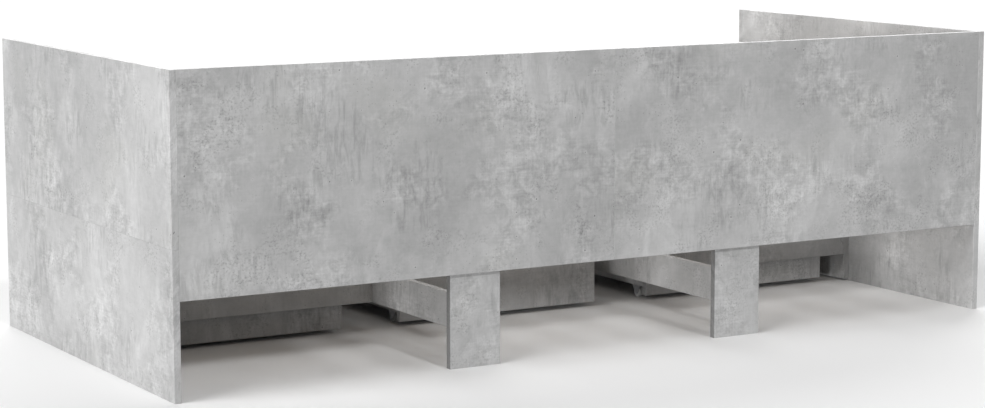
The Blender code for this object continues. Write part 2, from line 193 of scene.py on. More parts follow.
# %% Four sun lamps
LAMPS = {
    "side_lamp": ((0.75, 0.05, 0.66), 1.95, 40),
    "low_side_lamp": ((0.86, 0.50, 0.06), 1.52, 10),
    "rear_lamp": ((0.00, 0.86, 0.51), 0.90, 6),
    "front_lamp": ((-0.50, -0.75, 0.45), 2.0, 50),
}
for name, (toward, strength, width) in LAMPS.items():
    lamp = bpy.data.objects.new(name, bpy.data.lights.new(name, "SUN"))
    lamp.data.energy = strength
    lamp.data.angle = math.radians(width)
    lamp.rotation_euler = Vector(toward).to_track_quat("Z", "Y").to_euler()
    scene.collection.objects.link(lamp)
print(len(LAMPS), "lamps")

# %% [markdown]
# ## Noise as a building block
# Printed concrete is one tone that drifts, so most of its marks can be noise of a known size,
# shaped by a smooth ramp. Voronoi cells suit what is scattered and round instead: a pore is the
# spot around a cell's point, and only a few cells are chosen to have one. A 2D pattern is used
# for these, because a 3D one would miss most of its points on a flat face.

# %% Noise, ramp and pores
NOISE_STEP = 0.5
PORE_SIZES = (0.2, 1.0, 0.4, 1.0)
PORE_RAGGED = 0.4
PORE_HOLE = (-0.2, 0.3)
PORE_RIM = (-1.6, -0.2)


def noise(tree, vector, size, detail=2.0, roughness=0.5, stretch=None, distortion=0.0):
    """Noise from 0 to 1 with features of about this size in metres, drawn out by a stretch."""
    if stretch:
        mapping = node(tree, "ShaderNodeMapping", Scale=[1 / s for s in stretch])
        tree.links.new(vector, mapping.inputs["Vector"])
        vector = mapping.outputs["Vector"]
    made = node(
        tree, "ShaderNodeTexNoise", Scale=NOISE_STEP / size, Detail=detail, Roughness=roughness,
        Distortion=distortion,
    )
    tree.links.new(vector, made.inputs["Vector"])
    return made.outputs["Fac"]


def ramp(tree, value, low, high, bottom=0.0, top=1.0):
    """Map a range of values smoothly onto another."""
    made = node(tree, "ShaderNodeMapRange", From_Min=low, From_Max=high, To_Min=bottom, To_Max=top)
    made.interpolation_type = "SMOOTHSTEP"
    tree.links.new(value, made.inputs["Value"])
    return made.outputs["Result"]


def pores(tree, vector, cell, radius, chance):
    """Two values from 0 to 1: the dark hole of each chosen pore, and the pale rim around it."""
    cells = tree.nodes.new("ShaderNodeTexVoronoi")
    cells.voronoi_dimensions = "2D"
    cells.inputs["Scale"].default_value = 1 / cell
    tree.links.new(vector, cells.inputs["Vector"])
    dice = node(tree, "ShaderNodeSeparateColor")
    tree.links.new(cells.outputs["Color"], dice.inputs["Color"])
    chosen = maths(tree, "LESS_THAN", dice.outputs["Red"], chance)
    size = maths(tree, "MULTIPLY", ramp(tree, dice.outputs["Green"], *PORE_SIZES), radius)
    ragged = noise(tree, vector, PORE_RAGGED * radius)
    ragged = maths(tree, "MULTIPLY_ADD", ragged, radius, -radius / 2)
    away = maths(tree, "MULTIPLY_ADD", cells.outputs["Distance"], cell, ragged)
    inside = maths(tree, "DIVIDE", maths(tree, "SUBTRACT", size, away), radius)
    hole = maths(tree, "MULTIPLY", ramp(tree, inside, *PORE_HOLE), chosen)
    rim = maths(tree, "MULTIPLY", ramp(tree, inside, *PORE_RIM), chosen)
    return hole, rim


print("noise, ramp and pores ready")

# %% [markdown]
# ## Concrete decor
# The film is a photograph of trowelled concrete: calm grey areas with a soft edge, and rough ones
# between them with mottling of 10 to 20 mm, upright strokes of the trowel, hairlines both ways,
# dark crumbs and pores. Painting it as a picture is ruled out here, and a single noise looks
# like fog, or like cloth where it is fine and even. So each kind of mark is its own noise, most
# of them only within certain areas, added to a middle grey. The table gives each kind its noise,
# then the range of it that counts and the tones that this range becomes. All boards share one
# node group, whose X runs along the board, Y up it and Z out of its face. Z also leans into X
# and Y, so that the marks run on over the narrow edges instead of crossing them as lines.

# %% The decor as a node group
MIDDLE_GREY = 0.69
LEAN = (0.8, 0.8, 0.0)
CALM_MARKS = 0.30
HAIRLINE = {"size": 0.0019, "detail": 2, "distortion": 0.1}
HAIRLINE_TONES = (0.3, 0.7, -0.015, 0.015)
MARKS = {
    "clouds": (
        {"size": 0.20, "detail": 3, "distortion": 0.4}, (0.32, 0.68, -0.044, 0.042)),
    "areas": (
        {"size": 0.13, "detail": 5, "roughness": 0.55, "stretch": (1, 1.4, 1), "distortion": 0.7},
        (0.46, 0.56, -0.013, 0.013)),
    "smears": (
        {"size": 0.055, "detail": 5, "roughness": 0.6, "stretch": (1, 2.2, 1), "distortion": 1.0},
        (0.55, 0.68, -0.004, 0.034)),
    "rough_areas": (
        {"size": 0.085, "detail": 4, "roughness": 0.55}, (0.46, 0.60, CALM_MARKS, 1.0)),
    "mottle": (
        {"size": 0.015, "detail": 5, "roughness": 0.68, "distortion": 0.5},
        (0.34, 0.66, -0.050, 0.046)),
    "hairlines_along": ({**HAIRLINE, "stretch": (11, 1, 1)}, HAIRLINE_TONES),
    "hairlines_up": ({**HAIRLINE, "stretch": (1, 11, 1)}, HAIRLINE_TONES),
    "grain": ({"size": 0.0032, "detail": 2, "roughness": 0.6}, (0.3, 0.7, -0.020, 0.020)),
    "stroke_areas": ({"size": 0.070, "detail": 3}, (0.52, 0.64)),
    "strokes": (
        {"size": 0.0055, "detail": 4, "roughness": 0.64, "stretch": (1, 5, 1), "distortion": 0.6},
        (0.42, 0.68, 0.020, -0.056)),
    "crumb_areas": ({"size": 0.050, "detail": 4, "roughness": 0.6}, (0.50, 0.64)),
    "crumbs": ({"size": 0.0023, "detail": 2, "roughness": 0.6}, (0.46, 0.74, 0.016, -0.096)),
    "speck_areas": ({"size": 0.060, "detail": 3}, (0.55, 0.62)),
    "warm_areas": ({"size": 0.12, "detail": 2}, (0.54, 0.72)),
}
PORES = {"cell": 0.024, "radius": 0.0021, "chance": 0.055}
SPECKS = {"cell": 0.0080, "radius": 0.0012, "chance": 0.30}
SPECK_SHARE = 0.7
HOLE_TONE = -0.19
RIM_TONE = 0.030
WARM_TINT = {"Red": 0.0, "Green": 0.0, "Blue": -0.003}
GAMMA = 2.2
FILM_ROUGHNESS = 0.52
MARK_RELIEF = 3.0


def leaned(tree, vector):
    """Shear the print with the depth."""
    split = node(tree, "ShaderNodeSeparateXYZ")
    tree.links.new(vector, split.inputs[0])
    shear = tree.nodes.new("ShaderNodeVectorMath")
    shear.operation = "MULTIPLY_ADD"
    tree.links.new(split.outputs["Z"], shear.inputs[0])
    shear.inputs[1].default_value = LEAN
    tree.links.new(vector, shear.inputs[2])
    return shear.outputs[0]


def mark(tree, spot, name):
    """One kind of mark from the table, as a tone to add or as a mask."""
    pattern, tones = MARKS[name]
    return ramp(tree, noise(tree, spot, **pattern), *tones)


def summed(tree, spot, first, *others):
    total = mark(tree, spot, first)
    for name in others:
        total = maths(tree, "ADD", total, mark(tree, spot, name))
    return total


def fine_marks(tree, spot):
    """What is seen up close: mottle and lines in the rough areas, strokes, and crumbs."""
    marks = summed(tree, spot, "mottle", "hairlines_along", "hairlines_up", "grain")
    marks = maths(tree, "MULTIPLY", marks, mark(tree, spot, "rough_areas"))
    for name, area in (("strokes", "stroke_areas"), ("crumbs", "crumb_areas")):
        masked = mark(tree, spot, area)
        marks = maths(tree, "MULTIPLY_ADD", mark(tree, spot, name), masked, marks)
    return marks


def concrete_decor():
    tree = bpy.data.node_groups.new("concrete_decor", "ShaderNodeTree")
    tree.interface.new_socket("Vector", in_out="INPUT", socket_type="NodeSocketVector")
    for name, kind in (("Color", "Color"), ("Roughness", "Float"), ("Height", "Float")):
        tree.interface.new_socket(name, in_out="OUTPUT", socket_type=f"NodeSocket{kind}")
    spot = leaned(tree, tree.nodes.new("NodeGroupInput").outputs["Vector"])
    fine = fine_marks(tree, spot)
    hole, rim = pores(tree, spot, **PORES)
    specks, _ = pores(tree, spot, **SPECKS)
    clusters = maths(tree, "MULTIPLY", mark(tree, spot, "speck_areas"), SPECK_SHARE)
    hole = maths(tree, "MULTIPLY_ADD", specks, clusters, hole)
    total = maths(tree, "MULTIPLY_ADD", rim, RIM_TONE, maths(tree, "MULTIPLY", hole, HOLE_TONE))
    for part in (summed(tree, spot, "clouds", "areas", "smears"), fine, MIDDLE_GREY):
        total = maths(tree, "ADD", total, part)
    warmth = mark(tree, spot, "warm_areas")
    shade = node(tree, "ShaderNodeCombineColor")
    for channel, tint in WARM_TINT.items():
        tinted = maths(tree, "MULTIPLY_ADD", warmth, tint, total)
        tree.links.new(maths(tree, "POWER", tinted, GAMMA), shade.inputs[channel])
    leave = tree.nodes.new("NodeGroupOutput")
    tree.links.new(shade.outputs[0], leave.inputs["Color"])
    dullness = maths(tree, "MULTIPLY_ADD", fine, -1.0, FILM_ROUGHNESS)
    tree.links.new(dullness, leave.inputs["Roughness"])
    height = maths(tree, "MULTIPLY_ADD", hole, -1.0, maths(tree, "MULTIPLY", fine, MARK_RELIEF))
    tree.links.new(height, leave.inputs["Height"])
    return tree


DECOR = concrete_decor()
print("the decor group has", len(DECOR.nodes), "nodes")

# %% [markdown]
# ## One laminate for each board
# Real boards are cut from different parts of a long roll of film. One shared material would
# run the same pattern through every joint, so each board has its own: its thin direction is
# turned to be the pattern's Z, and a step moves it to another part of the print. The pattern
# reads Object coordinates, so a drawer keeps its print when it rolls out. A very low relief
# keeps the pores alive in grazing light, though the film stays smooth to the hand. The legs'
# narrow sides get painted shade: a darker grey drawn where the board's width ends.

# %% Dress the boards
PRINT_STEP = Vector((2.71, 3.37, 1.69))
PRINT_RELIEF = 0.00012
PRINT_STRENGTH = 0.7
FILM_SPECULAR = 0.4
FACE_AXES = {0: "YZX", 1: "XZY", 2: "XYZ"}
# painted shade on the legs' narrow sides: how far in from each side it reaches, and how dark
SIDE_SHADE_DEPTH = 0.0006
SIDE_SHADE_TONE = 0.42


def thin_axis(name):
    low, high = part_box(name)
    return min(range(3), key=lambda axis: high[axis] - low[axis])


def shaded_sides(tree, place, width, colour):
    """Painted shade: darken a colour at both ends of a board's width, which runs along X."""
    split = node(tree, "ShaderNodeSeparateXYZ")
    tree.links.new(place, split.inputs[0])
    middle, half = (width[0] + width[1]) / 2, (width[1] - width[0]) / 2
    off = maths(tree, "ABSOLUTE", maths(tree, "SUBTRACT", split.outputs["X"], middle))
    inner = maths(tree, "LESS_THAN", off, half - SIDE_SHADE_DEPTH)
    tone = maths(tree, "MULTIPLY_ADD", inner, 1 - SIDE_SHADE_TONE, SIDE_SHADE_TONE)
    shade = tree.nodes.new("ShaderNodeVectorMath")
    shade.operation = "SCALE"
    tree.links.new(colour, shade.inputs[0])
    tree.links.new(tone, shade.inputs["Scale"])
    return shade.outputs[0]


def laminate(name, number, thin, side_shade=None):
    """Concrete film on a board that is thin along one axis, cut from its own part of the roll."""
    material, tree, shader, place = surface(name)
    shader.inputs["Specular IOR Level"].default_value = FILM_SPECULAR
    split, turned = (tree.nodes.new(f"ShaderNode{kind}XYZ") for kind in ("Separate", "Combine"))
    tree.links.new(place, split.inputs[0])
    for source, slot in zip(FACE_AXES[thin], turned.inputs):
        tree.links.new(split.outputs[source], slot)
    mapping = node(tree, "ShaderNodeMapping", Location=PRINT_STEP * number)
    tree.links.new(turned.outputs[0], mapping.inputs["Vector"])
    decor = tree.nodes.new("ShaderNodeGroup")
    decor.node_tree = DECOR
    tree.links.new(mapping.outputs["Vector"], decor.inputs["Vector"])
    colour = decor.outputs["Color"]
    # painted shade on the narrow sides, for the legs only
    if side_shade:
        colour = shaded_sides(tree, place, side_shade, colour)
    tree.links.new(colour, shader.inputs["Base Color"])
    tree.links.new(decor.outputs["Roughness"], shader.inputs["Roughness"])
    bump = node(tree, "ShaderNodeBump", Strength=PRINT_STRENGTH, Distance=PRINT_RELIEF)
    tree.links.new(decor.outputs["Height"], bump.inputs["Height"])
    tree.links.new(bump.outputs["Normal"], shader.inputs["Normal"])
    return material


def dress(name, material):
    """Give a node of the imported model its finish."""
    mesh = frame["nodes"][name].data
    mesh.materials.clear()
    mesh.materials.append(material)


slots = {part["node"]: part["material_slot"] for part in frame["record"]["subparts"]}
boards = sorted(name for name, slot in slots.items() if slot == "concrete_laminate")
for number, name in enumerate(boards):
    low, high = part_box(name)
    # the legs get painted shade on their narrow sides
    side_shade = (low[0], high[0]) if "_leg_" in name else None
    dress(name, laminate(f"laminate_{name}", number, thin_axis(name), side_shade))
print(len(boards), "boards dressed")

# %% [markdown]
# ## Wood
# The slats are seven-ply: pale veneer with long grain on the faces, and on the edges thin dark
# glue lines between plies that turn by a quarter. The battens are planed pine. Rings cut from a
# solid log would be one way to model grain. Noise stretched along the board is simpler, and is
# as good on pieces this narrow. The plies come from the height within the slat.

# %% Plywood and pine
TAPE_THICKNESS = 0.0010
PLIES = 7
PLY_STEP = -0.30
GLUE = (0.02, 0.10, 0.45, 1.0)
ALONG_GRAIN = 30
GRAIN_BANDS = {"size": 0.012, "detail": 3, "roughness": 0.6, "distortion": 0.6}
GRAIN_FIBRES = {"size": 0.0012, "detail": 2, "roughness": 0.7}
BAND_SHARE = 0.75
FIBRE_SHARE = 0.45
GRAIN_RANGE = (0.38, 0.80)
GRAIN_GLOSS = (0.25, 0.38)
GRAIN_RELIEF = 0.0002
PLYWOOD_TONES = ((0.47, 0.32, 0.18), (0.74, 0.57, 0.38))
PINE_TONES = ((0.53, 0.35, 0.18), (0.77, 0.60, 0.38))


def tinted(tree, factor, dark, light):
    """Blend two linear colours by a value."""
    mix = node(tree, "ShaderNodeMix")
    mix.data_type = "RGBA"
    mix.inputs[6].default_value = (*dark, 1)
    mix.inputs[7].default_value = (*light, 1)
    tree.links.new(factor, mix.inputs[0])
    return mix.outputs[2]


def relief(tree, shader, height, distance, strength=1.0):
    bump = node(tree, "ShaderNodeBump", Strength=strength, Distance=distance)
    tree.links.new(height, bump.inputs["Height"])
    tree.links.new(bump.outputs["Normal"], shader.inputs["Normal"])


def ply_tone(tree, place, tone, lowest, veneer):
    """Darken every other ply, and draw the glue line between two plies."""
    split = node(tree, "ShaderNodeSeparateXYZ")
    tree.links.new(place, split.inputs[0])
    layer = maths(tree, "DIVIDE", maths(tree, "SUBTRACT", split.outputs["Z"], lowest), veneer)
    glue = maths(tree, "PINGPONG", layer, 0.5)
    odd = maths(tree, "GREATER_THAN", maths(tree, "PINGPONG", layer, 1.0), 0.5)
    tone = maths(tree, "MULTIPLY_ADD", odd, PLY_STEP, tone)
    return maths(tree, "MULTIPLY", tone, ramp(tree, glue, *GLUE))


def wood(name, dark, light, long_axis, ply=None):
    """Grain along one axis; ply gives the lowest height and the thickness of one veneer."""
    material, tree, shader, place = surface(name)
    stretch = [ALONG_GRAIN if axis == long_axis else 1 for axis in range(3)]
    bands = noise(tree, place, stretch=stretch, **GRAIN_BANDS)
    longer = [2 * share if share > 1 else 1 for share in stretch]
    fibres = noise(tree, place, stretch=longer, **GRAIN_FIBRES)
    fibres = maths(tree, "MULTIPLY", fibres, FIBRE_SHARE)
    grain = maths(tree, "MULTIPLY_ADD", bands, BAND_SHARE, fibres)
    tone = ramp(tree, grain, *GRAIN_RANGE)
    if ply:
        tone = ply_tone(tree, place, tone, *ply)
    tree.links.new(tinted(tree, tone, dark, light), shader.inputs["Base Color"])
    tree.links.new(maths(tree, "MULTIPLY_ADD", grain, *GRAIN_GLOSS), shader.inputs["Roughness"])
    relief(tree, shader, grain, GRAIN_RELIEF)
    return material


slat_low, slat_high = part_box("slat_roll")
deck_top = slat_high[2] - TAPE_THICKNESS
veneer = (deck_top - slat_low[2]) / PLIES
PLYWOOD = wood("plywood", *PLYWOOD_TONES, 1, ply=(slat_low[2], veneer))
PINE = wood("pine", *PINE_TONES, 0)
for name in ("rear_batten", "front_batten"):
    dress(name, PINE)
print("a veneer is", round(1000 * veneer, 2), "mm")

# %% [markdown]
# ## Metal, plastic and tape
# The castor brackets, plates and screws are satin zinc plate, and the cam locks are darker die
# castings. The wheels are pale nylon and the tapes are woven. Plain metal and plastic would do
# at a distance, but in a close view it is the uneven tone and the fine marks that tell them
# apart, so each finish has a cloud of tone and a fine relief of its own size.

# %% Zinc, nylon and webbing
METAL_CLOUDS = {"detail": 3, "roughness": 0.6}
METAL_RANGE = (0.35, 0.65)
METAL_DULL = 0.78
SCUFFS = {"roughness": 0.6, "stretch": (1, 6, 1)}
SCUFF_SHARE = 0.125
SCUFF_GLOSS = 0.22
SCUFF_RELIEF = 0.00005
PLASTIC_RANGE = (0.3, 0.7)
PLASTIC_DULL = 0.88
PLASTIC_GRAIN = {"size": 0.0004, "roughness": 0.6}
PLASTIC_GLOSS = (0.2, 0.34)
PLASTIC_RELIEF = 0.00004
CLOTH_ROUGHNESS = 0.85
CLOTH_FUZZ = {"size": 0.0012, "roughness": 0.6}
FUZZ_SHARE = 0.4
CLOTH_RANGE = (-1.0, 1.2)
CLOTH_SHADOW = 0.80
CLOTH_RELIEF = (0.00015, 0.6)


def darker(colour, share):
    return [share * channel for channel in colour]


def metal(name, colour, roughness, size):
    """Plated or cast metal: the tone clouds over, and fine marks run across it."""
    material, tree, shader, place = surface(name, metallic=1.0)
    cloud = ramp(tree, noise(tree, place, size, **METAL_CLOUDS), *METAL_RANGE)
    scuffs = noise(tree, place, SCUFF_SHARE * size, **SCUFFS)
    tone = tinted(tree, cloud, darker(colour, METAL_DULL), colour)
    tree.links.new(tone, shader.inputs["Base Color"])
    rough = maths(tree, "MULTIPLY_ADD", scuffs, SCUFF_GLOSS, roughness - SCUFF_GLOSS / 2)
    tree.links.new(rough, shader.inputs["Roughness"])
    relief(tree, shader, scuffs, SCUFF_RELIEF)
    return material


def plastic(name, colour, size):
    """Moulded plastic with a fine even texture and a faint unevenness of tone."""
    material, tree, shader, place = surface(name)
    cloud = ramp(tree, noise(tree, place, size), *PLASTIC_RANGE)
    grain = noise(tree, place, **PLASTIC_GRAIN)
    tone = tinted(tree, cloud, darker(colour, PLASTIC_DULL), colour)
    tree.links.new(tone, shader.inputs["Base Color"])
    tree.links.new(maths(tree, "MULTIPLY_ADD", grain, *PLASTIC_GLOSS), shader.inputs["Roughness"])
    relief(tree, shader, grain, PLASTIC_RELIEF)
    return material


def webbing(name, colour, thread):
    """Plain weave: two crossed rows of threads, with a little fuzz, and painted shade where the
    threads dip.
    """
    material, tree, shader, place = surface(name, CLOTH_ROUGHNESS)
    split = node(tree, "ShaderNodeSeparateXYZ")
    tree.links.new(place, split.inputs[0])
    turns = [maths(tree, "MULTIPLY", split.outputs[axis], math.pi / thread) for axis in "XY"]
    weave = maths(tree, "MULTIPLY", *(maths(tree, "SINE", turn) for turn in turns))
    fuzz = noise(tree, place, **CLOTH_FUZZ)
    height = maths(tree, "MULTIPLY_ADD", fuzz, FUZZ_SHARE, weave)
    # painted shade: the lower the weave, the darker the colour
    tone = ramp(tree, height, *CLOTH_RANGE)
    tone = tinted(tree, tone, darker(colour, CLOTH_SHADOW), colour)
    tree.links.new(tone, shader.inputs["Base Color"])
    relief(tree, shader, height, *CLOTH_RELIEF)
    return material


ZINC = metal("zinc_plate", colour=(0.58, 0.59, 0.61), roughness=0.60, size=0.008)
CAST_ZINC = metal("cast_zinc", colour=(0.58, 0.58, 0.59), roughness=0.46, size=0.004)
NYLON = plastic("pale_nylon", colour=(0.62, 0.62, 0.61), size=0.006)
CAP_PLASTIC = plastic("grey_cap", colour=(0.40, 0.40, 0.40), size=0.006)
TAPE = webbing("tape_weave", colour=(0.74, 0.72, 0.66), thread=0.0016)
print("five finishes made")

# %% [markdown]
# ## From a bmesh to a piece
# Every new piece is one mesh that lies at its own place in the frame, on an object at the
# origin. Placing the object instead would be usual, but a pattern on Object coordinates would
# then start anew on each copy, and the export expects it this way. The doubles are merged first
# and the normals turned outwards after, because spun shapes can come out inside out.

# %% Pieces and places
MERGE = 1e-6
SMOOTH_BELOW = 35


def piece(name, shape, material, body):
    """Turn a bmesh into a named piece that rides on a body."""
    bmesh.ops.remove_doubles(shape, verts=shape.verts, dist=MERGE)
    bmesh.ops.recalc_face_normals(shape, faces=shape.faces)
    mesh = bpy.data.meshes.new(name)
    shape.to_mesh(mesh)
    shape.free()
    mesh.materials.append(material)
    mesh.shade_smooth()
    mesh.set_sharp_from_angle(angle=math.radians(SMOOTH_BELOW))
    thing = bpy.data.objects.new(name, mesh)
    scene.collection.objects.link(thing)
    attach(thing, body)
    return thing


def facing(point, normal):
    """A place whose own +Z is the normal."""
    turn = Vector(normal).to_track_quat("Z", "Y").to_matrix().to_4x4()
    return Matrix.Translation(point) @ turn


def new_verts(result):
    return [item for item in result["geom"] if isinstance(item, bmesh.types.BMVert)]


print("pieces merge points closer than", MERGE, "m")

# %% [markdown]
# ## Planks
# Slats and plates are flat, with rounded corners in plan and eased edges. A cube with every edge
# bevelled would round them alike. A flat face whose four corners are bevelled first, then
# extruded, keeps the large corners and the small edges apart, as a router and sandpaper do.

# %% Plank
CORNER_STEPS = 4
ROUNDING = {"profile": 0.5, "material": -1}


def plank(shape, low, high, corner, edge, segments=2):
    """A flat piece between two opposite corners of its box, in an empty bmesh."""
    low, high = Vector(low), Vector(high)
    size, middle = high - low, (low + high) / 2
    corners = bmesh.ops.create_grid(shape, x_segments=1, y_segments=1, size=0.5)["verts"]
    bmesh.ops.scale(shape, vec=(size.x, size.y, 1), verts=corners)
    bmesh.ops.translate(shape, vec=(middle.x, middle.y, low.z), verts=corners)
    bmesh.ops.bevel(
        shape, geom=corners, offset=corner, segments=CORNER_STEPS, affect="VERTICES", **ROUNDING
    )
    risen = new_verts(bmesh.ops.extrude_face_region(shape, geom=shape.faces[:]))
    bmesh.ops.translate(shape, verts=risen, vec=(0, 0, size.z))
    level = [e for e in shape.edges if abs(e.verts[0].co.z - e.verts[1].co.z) < MERGE]
    bmesh.ops.bevel(
        shape, geom=level, offset=edge, segments=segments, affect="EDGES", **ROUNDING
    )


print("plank helper ready")

# %% [markdown]
# ## Slats
# The deck is fourteen plywood slats across the two battens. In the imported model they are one
# solid with their tapes, as a body for the motion. Here each slat is a piece of its own, with
# sanded corners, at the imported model's places.

# %% Fourteen slats
SLATS = 14
SLAT_WIDTH = 0.065
SLAT_CORNER = 0.005
SLAT_ROUND = 0.0016
BOARD = 0.015
clear_length = 2 * (cad_high[0] - BOARD)
pitch = clear_length / SLATS
slat_x = [(index + 0.5) * pitch - clear_length / 2 for index in range(SLATS)]

deck = []
for number, x in enumerate(slat_x, 1):
    shape = bmesh.new()
    low = (x - SLAT_WIDTH / 2, slat_low[1], slat_low[2])
    high = (x + SLAT_WIDTH / 2, slat_high[1], deck_top)
    plank(shape, low, high, SLAT_CORNER, SLAT_ROUND)
    deck.append(piece(f"slat_{number:02d}", shape, PLYWOOD, "frame"))
print(len(deck), "slats,", round(1000 * pitch), "mm apart")

# %% [markdown]
# ## Tapes and staples
# Two woven tapes hold the slats at their spacing, so that the deck unrolls on the battens. A
# tape could be one long flat box, but cloth is never that straight: it dips a little over each
# gap. So one face is extruded along a route that sags by a sine between the slats. Two staples
# hold each tape on each slat.

# %% Two tapes
TAPE_WIDTH = 0.025
TAPE_Y = (-0.282, 0.282)
TAPE_DIP = 0.0016
TAPE_END = 0.028
TAPE_LIFT = 0.0001
DIP_SHARES = (0, 0.15, 0.3, 0.5, 0.7, 0.85, 1)
STAPLE = Vector((0.0012, 0.0100, 0.0005))
STAPLE_ROUND = 0.0002
STAPLE_SIDE = 0.016


def ribbon(shape, route, y, width, thickness):
    """A flat tape: its end face is extruded along a route of X and Z points."""
    upright = Matrix.Rotation(math.pi / 2, 4, "Y")
    verts = bmesh.ops.create_grid(
        shape, x_segments=1, y_segments=1, size=0.5, matrix=upright
    )["verts"]
    bmesh.ops.scale(shape, vec=(1, width, thickness), verts=verts)
    bmesh.ops.translate(shape, vec=(route[0][0], y, route[0][1] + thickness / 2), verts=verts)
    first = face = shape.faces[:][-1]
    for (x, z), (next_x, next_z) in zip(route, route[1:]):
        grown = bmesh.ops.extrude_face_region(shape, geom=[face])
        bmesh.ops.translate(shape, vec=(next_x - x, 0, next_z - z), verts=new_verts(grown))
        if face is not first:
            bmesh.ops.delete(shape, geom=[face], context="FACES")
        face = next(item for item in grown["geom"] if isinstance(item, bmesh.types.BMFace))


route = [(slat_x[0] - TAPE_END, deck_top + TAPE_LIFT)]
for left, right in zip(slat_x, slat_x[1:]):
    near, far = left + SLAT_WIDTH / 2, right - SLAT_WIDTH / 2
    for share in DIP_SHARES:
        dip = TAPE_DIP * math.sin(math.pi * share)
        route.append((near + share * (far - near), deck_top + TAPE_LIFT - dip))
route.append((slat_x[-1] + TAPE_END, deck_top + TAPE_LIFT))
staples = bmesh.new()
for number, y in enumerate(TAPE_Y, 1):
    shape = bmesh.new()
    ribbon(shape, route, y, TAPE_WIDTH, TAPE_THICKNESS - STAPLE.z)
    deck.append(piece(f"tape_{number}", shape, TAPE, "frame"))
    for x in (x + side * STAPLE_SIDE for x in slat_x for side in (-1, 1)):
        crown = bmesh.ops.create_cube(staples, size=1)["verts"]
        bmesh.ops.scale(staples, vec=STAPLE, verts=crown)
        bmesh.ops.translate(staples, vec=(x, y, slat_high[2] - STAPLE.z / 2), verts=crown)
bmesh.ops.bevel(
    staples, geom=staples.edges[:], offset=STAPLE_ROUND, segments=2, affect="EDGES", **ROUNDING
)
deck.append(piece("tape_staples", staples, ZINC, "frame"))
for thing in deck:
    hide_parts("slat_roll")
print(len(route), "points along each tape")

# %% [markdown]
# ## Turned shapes and cross recesses
# Wheels, rivets, caps and screw heads are turned, so each starts as a profile that is spun about
# its axis. The cross for the screwdriver could be cut with a Boolean. It is cleaner to lay a
# cross of five faces in the head, from a grid of three by three without its corners. Each side
# is halved, the outline is widened until its 24 points lie on the 24 points of the rim, and the
# cross is pushed down.

# %% Spin and cross head
RECESS_TAPER = 0.8
ARM_SHARE = 0.22
HEAD_STEPS = 24
RIM_SHARE = 0.80
DOME_SHARES = ((1, 0.3), (0.97, 0.6), (0.90, 0.9), (RIM_SHARE, 1))
FLAT_SHARES = ((1, 0), (RIM_SHARE, 0))
REACH_SHARE = 0.60
DEPTH_SHARE = 0.7
SCREW = {"radius": 0.0036, "rise": 0.0009, "foot": 0.0002}
HALFWAY = 0.5


def revolved(shape, place, profile, steps):
    """Spin a profile of radius and height, down its outer side, about the place's own Z."""
    points = [shape.verts.new(place @ Vector((radius, 0, height))) for radius, height in profile]
    pairs = list(zip(points, points[1:]))
    if profile[0][0] > 0:
        pairs.append((points[-1], points[0]))
    line = [shape.edges.new(pair) for pair in pairs]
    bmesh.ops.spin(
        shape, geom=points + line, cent=place.translation, axis=place.col[2].xyz,
        angle=math.tau, steps=steps, use_merge=True,
    )
    bmesh.ops.remove_doubles(shape, verts=shape.verts, dist=MERGE)


def flat_cross(shape, place, reach, height):
    """A cross of faces with each side halved: its faces, and the 24 edges of its outline."""
    others = set(shape.faces)
    cross = bmesh.ops.create_grid(shape, x_segments=3, y_segments=3, size=1)["verts"]
    corners = [vert for vert in cross if min(abs(vert.co.x), abs(vert.co.y)) > HALFWAY]
    bmesh.ops.delete(shape, geom=corners, context="VERTS")
    for vert in (vert for vert in cross if vert.is_valid):
        shares = [1 if abs(c) > HALFWAY else ARM_SHARE for c in vert.co.xy]
        flat = [math.copysign(reach * share, c) for share, c in zip(shares, vert.co.xy)]
        vert.co = place @ Vector((*flat, height))
    sides = [edge for face in shape.faces if face not in others for edge in face.edges]
    bmesh.ops.subdivide_edges(shape, edges=[edge for edge in sides if edge.is_boundary], cuts=1)
    faces = [face for face in shape.faces if face not in others]
    return faces, [edge for face in faces for edge in face.edges if edge.is_boundary]


def turn_of(spot):
    """The angle of a point about Z, from 0 to a full turn."""
    return (math.atan2(spot.y, spot.x) + MERGE) % math.tau


def cross_head(shape, place, radius, rise, foot, reach, depth):
    """A round head with a cross recess. It rises from the place and reaches down to its foot."""
    shares = DOME_SHARES if rise else FLAT_SHARES
    profile = [(0, -foot), (radius, -foot)] + [(r * radius, h * rise) for r, h in shares]
    revolved(shape, place, profile, HEAD_STEPS)
    faces, outline = flat_cross(shape, place, reach, rise)
    inverse = place.inverted()
    outer = new_verts(bmesh.ops.extrude_edge_only(shape, edges=outline))
    outer.sort(key=lambda vert: turn_of(inverse @ vert.co))
    for index, vert in enumerate(outer):
        angle = index * math.tau / HEAD_STEPS
        arm = RIM_SHARE * radius
        vert.co = place @ Vector((arm * math.cos(angle), arm * math.sin(angle), rise))
    sunk = new_verts(bmesh.ops.extrude_face_region(shape, geom=faces))
    bmesh.ops.delete(shape, geom=faces, context="FACES")
    bmesh.ops.scale(
        shape, vec=(RECESS_TAPER, RECESS_TAPER, 1), space=inverse, verts=sunk
    )
    bmesh.ops.translate(shape, vec=-depth * place.col[2].xyz, verts=sunk)
    bmesh.ops.remove_doubles(shape, verts=shape.verts, dist=MERGE)


def screw(shape, point, normal, radius, rise, foot):
    reach, depth = REACH_SHARE * radius, DEPTH_SHARE * rise
    cross_head(shape, facing(point, normal), radius, rise, foot, reach, depth)


print("spin and cross head ready")

# %% [markdown]
# ## Cam locks
# Boards that meet at a corner are drawn together by cam locks: a die-cast disc in a round
# pocket, which a quarter turn of a screwdriver tightens on a bolt. The pockets are already in
# the boards. A painted ring could stand for the disc, but the pockets show as soon as a drawer
# is open, so each gets its disc, a little below the board's face.

